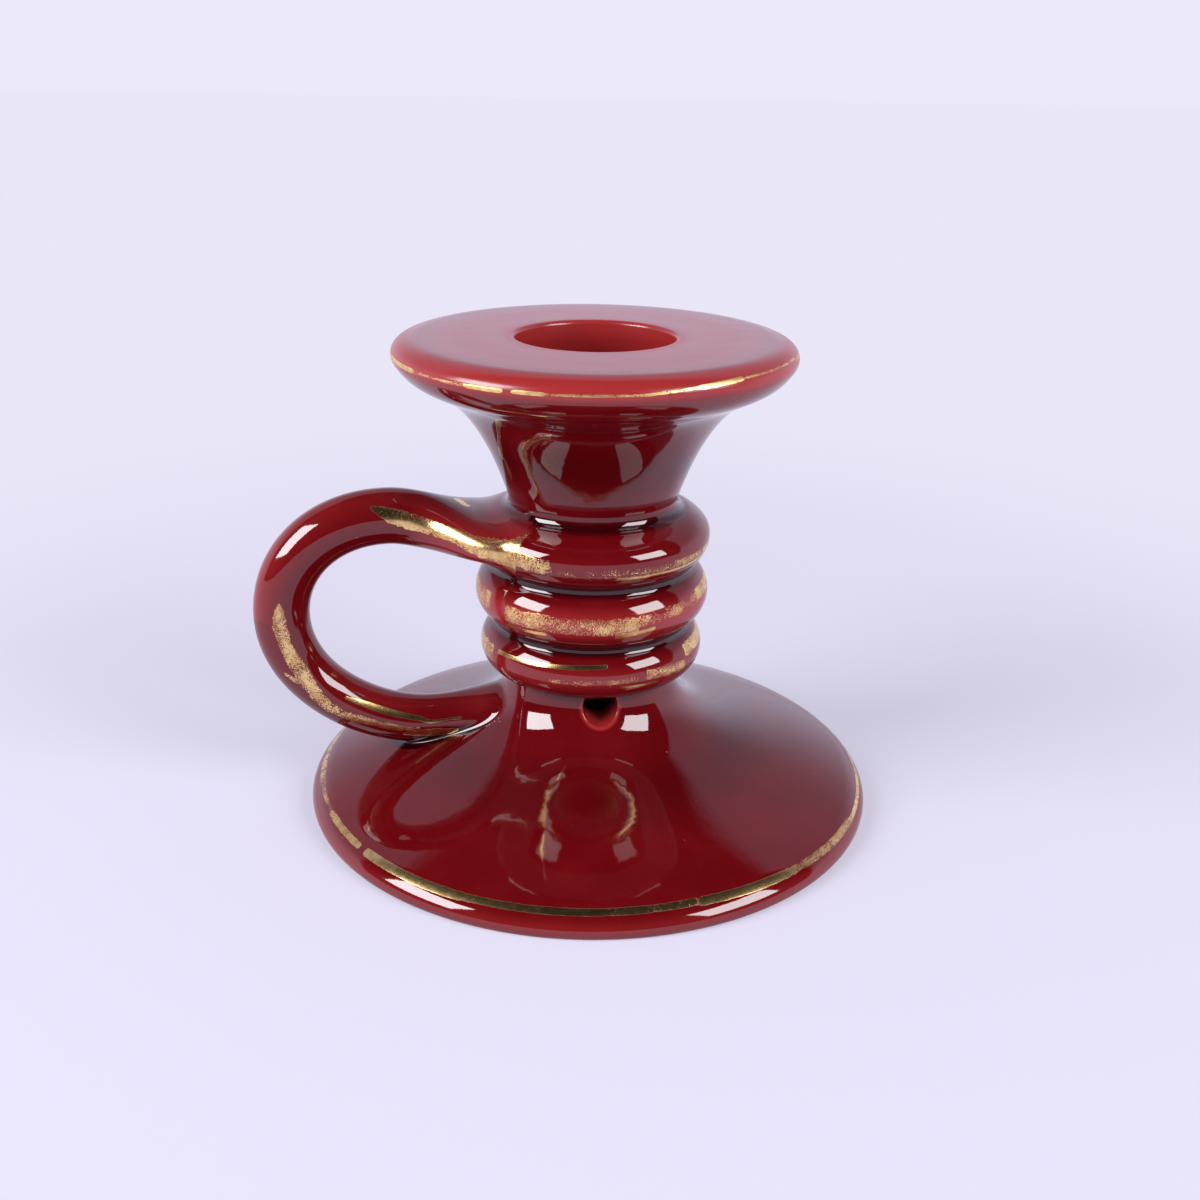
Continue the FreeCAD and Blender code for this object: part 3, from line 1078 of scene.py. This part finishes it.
# Heights of the ripples in the surface, in millimetres.
RIPPLE = {"cloud": 0.05, "mottle": 0.0016, "speck": 0.02, "gold": 0.004}
# Heights between which the foot's bare clay gives way to glaze, in millimetres.
BARE_LOW, BARE_HIGH = 0.04, 0.16


def new_material(name):
    material = bpy.data.materials.new(name)
    material.use_nodes = True
    material.node_tree.nodes.clear()
    return material, Wire(material.node_tree)


def surfaced(start, shader):
    output = start.tree.nodes.new("ShaderNodeOutputMaterial")
    start.tree.links.new(shader.socket, output.inputs["Surface"])


def glaze_colour(thin_and_lit, thick_and_shaded, cloud, mottle, dots):
    """The red by its depth and by painted light and shade, with pale clouds and mottling and
    with pink specks.
    """
    red = thin_and_lit.mix(thick_and_shaded.mix(DEEP_RED, POOLED_AND_SHADED_RED), THIN_AND_LIT_RED)
    pale = cloud.rise(0.35, 0.75) * CLOUDS_LIGHTEN + mottle.rise(0.55, 0.8) * MOTTLE_LIGHTENS
    red = (pale * (1 - thick_and_shaded)).mix(red, THIN_AND_LIT_RED)
    return (dots * 0.8).mix(red, SPECK_PINK)


print("roughness", ROUGHNESS, "ripple", RIPPLE)

# %% [markdown]
# ## Worn gold
# Three noises wear the strokes. A fine one makes their edges ragged, more so on a worn
# stroke. A finer one leaves the gold in grains, and a broad one decides where many grains
# are gone.

# %% Gold that is left
def gold_left(start, rubbed):
    """1 where gold is left, and 0 where a stroke ends or is rubbed away."""
    gilt = attribute(start, "gilt")
    worn = attribute(start, "worn")
    ragged = noise(start, size=0.55, detail=4.0, offset=0.7)
    patches = noise(start, size=2.6, detail=3.0, offset=0.9)
    edge = (gilt + (ragged - 0.5) * (worn + 0.15) * 1.3).rise(0.04, 0.12)
    loss = worn + (patches - 0.5) * 0.7
    kept = (rubbed + gilt * 0.1 - loss * 0.75).rise(0.16, 0.22)
    return edge * kept


# %% [markdown]
# ## Red glaze with gold lustre
# The colour changes with the glaze's thickness and with painted light and shade, and carries
# pinholes and dust specks. The surface ripples by a few hundredths of a millimetre, which
# shows in the reflections. The gold is metal where it is whole. The foot ring was wiped clean
# before the firing, so its underside is bare clay.

# %% Glaze material
def glaze_material():
    material, start = new_material("red_glaze_and_gold")
    pool = attribute(start, "pool")
    # Painted light counts as thin glaze here, and painted shade as thick glaze.
    thin_and_lit = (0 - pool).rise(0.05, 1.0)
    thick_and_shaded = pool.rise(0.05, 1.0)
    cloud = noise(start, size=9.0, detail=3.0)
    mottle = noise(start, size=0.9, detail=3.0, offset=0.3)
    rubbed = noise(start, size=0.16, detail=2.0, offset=0.5)
    dots = specks(start, spacing=3.1, size=0.13, share=0.35)
    lustre = gold_left(start, rubbed)
    brown = noise(start, size=1.3, detail=3.0, offset=0.2).rise(0.35, 0.65) * 0.5
    red = glaze_colour(thin_and_lit, thick_and_shaded, cloud, mottle, dots)
    colour = lustre.mix(red, brown.mix(GOLD, GOLD_BROWN))

    coordinates = start.node("ShaderNodeTexCoord", {}, {}, "Object")
    height = start.node("ShaderNodeSeparateXYZ", {}, {0: coordinates}, 2) / MM
    bare = 1 - (height + (mottle - 0.5) * 0.2).rise(BARE_LOW, BARE_HIGH)
    colour = bare.mix(colour, CLAY)

    roughness = ROUGHNESS["glaze"] + thin_and_lit * thin_and_lit * ROUGHNESS["thin_and_lit"]
    roughness = roughness + bare * ROUGHNESS["bare"] + dots * ROUGHNESS["speck"]
    roughness = roughness + lustre * (ROUGHNESS["gold"] + rubbed * ROUGHNESS["rubbed"])

    ripple = (cloud - 0.5) * RIPPLE["cloud"] + (mottle - 0.5) * RIPPLE["mottle"]
    ripple = ripple - dots * RIPPLE["speck"] + lustre * RIPPLE["gold"]
    bump = start.node("ShaderNodeBump", {}, {"Height": ripple, "Distance": MM, "Strength": 1.0})
    shader = start.node(
        "ShaderNodeBsdfPrincipled", {},
        {
            "Base Color": colour, "Metallic": lustre, "Roughness": roughness,
            "IOR": GLAZE_IOR, "Normal": bump,
        },
    )
    surfaced(start, shader)
    return material


red_glaze = glaze_material()
print(red_glaze.name, len(red_glaze.node_tree.nodes), "nodes")

# %% [markdown]
# ## Bare clay
# Inside the stem the clay was never glazed. It is matt and buff, with a fine grain. The
# CAD's own tube shows there, so only its material is new.

# %% Clay material
def clay_material():
    material, start = new_material("bare_clay_inside")
    grain = noise(start, size=0.4, detail=4.0)
    cloud = noise(start, size=6.0)
    tone = (grain * 0.5 + cloud * 0.5).rise(0.3, 0.7)
    colour = tone.mix(CLAY, PALE_CLAY)
    bump = start.node("ShaderNodeBump", {}, {"Height": grain * 0.05, "Distance": MM})
    shader = start.node(
        "ShaderNodeBsdfPrincipled", {},
        {"Base Color": colour, "Roughness": 0.75 + grain * 0.15, "Normal": bump},
    )
    surfaced(start, shader)
    return material


bare_clay = clay_material()
stem_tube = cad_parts["stem_tube"]
stem_tube.data.materials.clear()
stem_tube.data.materials.append(bare_clay)
print(bare_clay.name, len(bare_clay.node_tree.nodes), "nodes")

# %% [markdown]
# ## Telling the frame
# Every new piece stands for one CAD node and rides on the part's only body. The CAD nodes
# keep their collision shapes, and only their looks are replaced.

# %% Ride and replace
pieces = {
    "base_bell": base_bell, "drip_pan": drip_pan, "candle_socket": candle_socket,
    "finger_loop": finger_loop, **dict(zip(COIL_NODES, coils)),
}
for node, piece in pieces.items():
    piece.data.materials.append(red_glaze)
    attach(piece, "root")
    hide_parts(node)
print(len(pieces), "pieces replace their CAD nodes")

# %% [markdown]
# ## Floor
# The photo was taken on pale lavender paper. Close to the object the floor is lit paper,
# which takes its shadow. Further off it changes over to an even glow for the camera and
# for reflections, so no edge or horizon shows. Under the foot it stays dark, so that the
# vent does too.

# %% Floor
PAPER = (0.655, 0.63, 0.75, 1)
FAR_PAPER = (0.83, 0.805, 0.955, 1)
FLOOR_SIZE = 4.0
GLOW = 0.985
# Share of the glow close to the foot, and the distances between which the rest comes in.
NEAR_GLOW = 0.4
FADE_START = 0.06
FADE_END = 0.26
FOOT_EDGE = FOOT_RADIUS * MM

floor_mesh = bmesh.new()
bmesh.ops.create_grid(floor_mesh, x_segments=1, y_segments=1, size=FLOOR_SIZE)
floor_data = bpy.data.meshes.new("paper_floor")
floor_mesh.to_mesh(floor_data)
floor_mesh.free()
floor = bpy.data.objects.new("paper_floor", floor_data)
bpy.context.scene.collection.objects.link(floor)
paper, start = new_material("lavender_paper")
coordinates = start.node("ShaderNodeTexCoord", {}, {}, "Object")
distance = start.node("ShaderNodeVectorMath", {"operation": "LENGTH"}, {0: coordinates}, "Value")
outside = distance.rise(FOOT_EDGE - MM, FOOT_EDGE)
camera_ray = start.node("ShaderNodeLightPath", {}, {}, "Is Camera Ray")
glossy_ray = start.node("ShaderNodeLightPath", {}, {}, "Is Glossy Ray")
seen = start.math("MINIMUM", camera_ray + glossy_ray, 1.0)
glowing = distance.rise(FADE_START, FADE_END) * (1 - NEAR_GLOW) + outside * NEAR_GLOW
lit = start.node("ShaderNodeBsdfDiffuse", {}, {"Color": PAPER})
far = start.node("ShaderNodeEmission", {}, {"Color": FAR_PAPER, "Strength": GLOW})
mixed = start.node("ShaderNodeMixShader", {}, {0: glowing * seen, 1: lit, 2: far})
surfaced(start, mixed)
floor.data.materials.append(paper)
print(floor.name, "fades from", FADE_START, "to", FADE_END, "m")

# %% [markdown]
# ## The room that the glaze mirrors
# A gloss glaze is only as good as what it mirrors. Behind and beside the object stands pale
# paper, which leans back and dims towards its top. In front and overhead the room is dark,
# which gives the deep reds. Real sheets of paper could be modelled, but the world does the
# same with a few sums. Matt surfaces get an even light, and the camera sees plain paper.

# %% World
AMBIENT = 0.42
ROOM_COLOUR = (0.80, 0.78, 0.98, 1)
# How bright the paper is low down and high up, and how bright the dark part is.
ROOM_LOW = 1.1
ROOM_HIGH = 0.55
ROOM_DARK = 0.012
# The paper's lean, and where its front edge, its top and its dimming start and end.
SHEET_LEAN = 0.36
SHEET_EDGE = (-0.03, 0.03)
SHEET_TOP = (0.77, 0.83)
SHEET_DIMS = (0.12, 0.5)
VIEW_TURN = -6.8

world = bpy.data.worlds.new("paper_room")
world.use_nodes = True
world.node_tree.nodes.clear()
bpy.context.scene.world = world
start = Wire(world.node_tree)
generated = start.node("ShaderNodeTexCoord", {}, {}, "Generated")
direction = start.node(
    "ShaderNodeMapping", {}, {"Vector": generated, "Rotation": (0, 0, -math.radians(VIEW_TURN))}
)
depth = start.node("ShaderNodeSeparateXYZ", {}, {0: direction}, 1)
lift = start.node("ShaderNodeSeparateXYZ", {}, {0: direction}, 2)
behind = (depth - lift * SHEET_LEAN).rise(*SHEET_EDGE)
below_top = 1 - lift.rise(*SHEET_TOP)
level = ROOM_LOW - lift.rise(*SHEET_DIMS) * (ROOM_LOW - ROOM_HIGH)
brightest = ROOM_LOW + ROOM_DARK
room = (behind * below_top * level + ROOM_DARK) / brightest
camera_ray = start.node("ShaderNodeLightPath", {}, {}, "Is Camera Ray")
glossy_ray = start.node("ShaderNodeLightPath", {}, {}, "Is Glossy Ray")
ambient = start.node("ShaderNodeBackground", {}, {"Color": FAR_PAPER, "Strength": AMBIENT})
black = start.node("ShaderNodeBackground", {}, {"Color": ROOM_COLOUR, "Strength": 0.0})
white = start.node("ShaderNodeBackground", {}, {"Color": ROOM_COLOUR, "Strength": brightest})
mirrored = start.node("ShaderNodeMixShader", {}, {0: room, 1: black, 2: white})
plain = start.node("ShaderNodeBackground", {}, {"Color": FAR_PAPER, "Strength": 1.0})
glossy = start.node("ShaderNodeMixShader", {}, {0: glossy_ray, 1: ambient, 2: mirrored})
both = start.node("ShaderNodeMixShader", {}, {0: camera_ray, 1: glossy, 2: plain})
world_output = world.node_tree.nodes.new("ShaderNodeOutputWorld")
world.node_tree.links.new(both.socket, world_output.inputs["Surface"])
print(world.name, len(world.node_tree.nodes), "nodes")

# %% [markdown]
# ## Soft boxes
# Two rectangular soft boxes stand in front, one at each side. Their angles come from the
# highlights on the coils, which have straight sides in the photo. Area lights with a
# rectangle's shape give those highlights, and light the object as well.

# %% Soft boxes
# Angle from straight in front, towards the right, then height angle and brightness.
SOFT_BOXES = (("soft_box_left", -72, 27, 15.0), ("soft_box_right", 53, 27, 11.5))
BOX_DISTANCE = 0.8
BOX_WIDTH = 0.42
BOX_HEIGHT = 0.36
BOX_COLOUR = (0.96, 0.965, 1.0)
AIM = Vector((0, 0, 0.03))

for name, turn, lift_angle, radiance in SOFT_BOXES:
    lamp = bpy.data.lights.new(name, "AREA")
    lamp.shape = "RECTANGLE"
    lamp.color = BOX_COLOUR
    lamp.size = BOX_WIDTH
    lamp.size_y = BOX_HEIGHT
    lamp.energy = radiance * math.pi * BOX_WIDTH * BOX_HEIGHT
    holder = bpy.data.objects.new(name, lamp)
    bpy.context.scene.collection.objects.link(holder)
    turned_by = math.radians(turn)
    raised = math.radians(lift_angle)
    flat = math.cos(raised)
    way = Vector((math.sin(turned_by) * flat, -math.cos(turned_by) * flat, math.sin(raised)))
    holder.location = AIM + way * BOX_DISTANCE
    holder.rotation_euler = way.to_track_quat("Z", "Y").to_euler()
    print(name, [round(value, 3) for value in holder.location])

# %% [markdown]
# ## Camera
# The camera's place was worked out from the photo's outlines: it looks 22 degrees down from
# about 20 cm away, and leans by a degree.

# %% Camera
CAMERA_AWAY = 200.0
CAMERA_HEIGHT = 113.3
CAMERA_PITCH = 22.01
CAMERA_PAN = -0.395
CAMERA_ROLL = 1.035
LENS = 40.25
SENSOR = 36.0
NEAREST = 0.01

camera_data = bpy.data.cameras.new("camera")
camera_data.lens = LENS
camera_data.sensor_width = SENSOR
camera_data.clip_start = NEAREST
camera = bpy.data.objects.new("camera", camera_data)
bpy.context.scene.collection.objects.link(camera)
turn = math.radians(VIEW_TURN)
place = Vector((math.sin(turn) * CAMERA_AWAY, -math.cos(turn) * CAMERA_AWAY, CAMERA_HEIGHT))
camera.matrix_world = (
    Matrix.Translation(place * MM)
    @ Matrix.Rotation(math.radians(CAMERA_PAN) + turn, 4, "Z")
    @ Matrix.Rotation(math.radians(90 - CAMERA_PITCH), 4, "X")
    @ Matrix.Rotation(math.radians(CAMERA_ROLL), 4, "Z")
)
bpy.context.scene.camera = camera
bpy.context.scene.view_settings.view_transform = "Standard"
print("camera", [round(value, 4) for value in camera.matrix_world.translation])
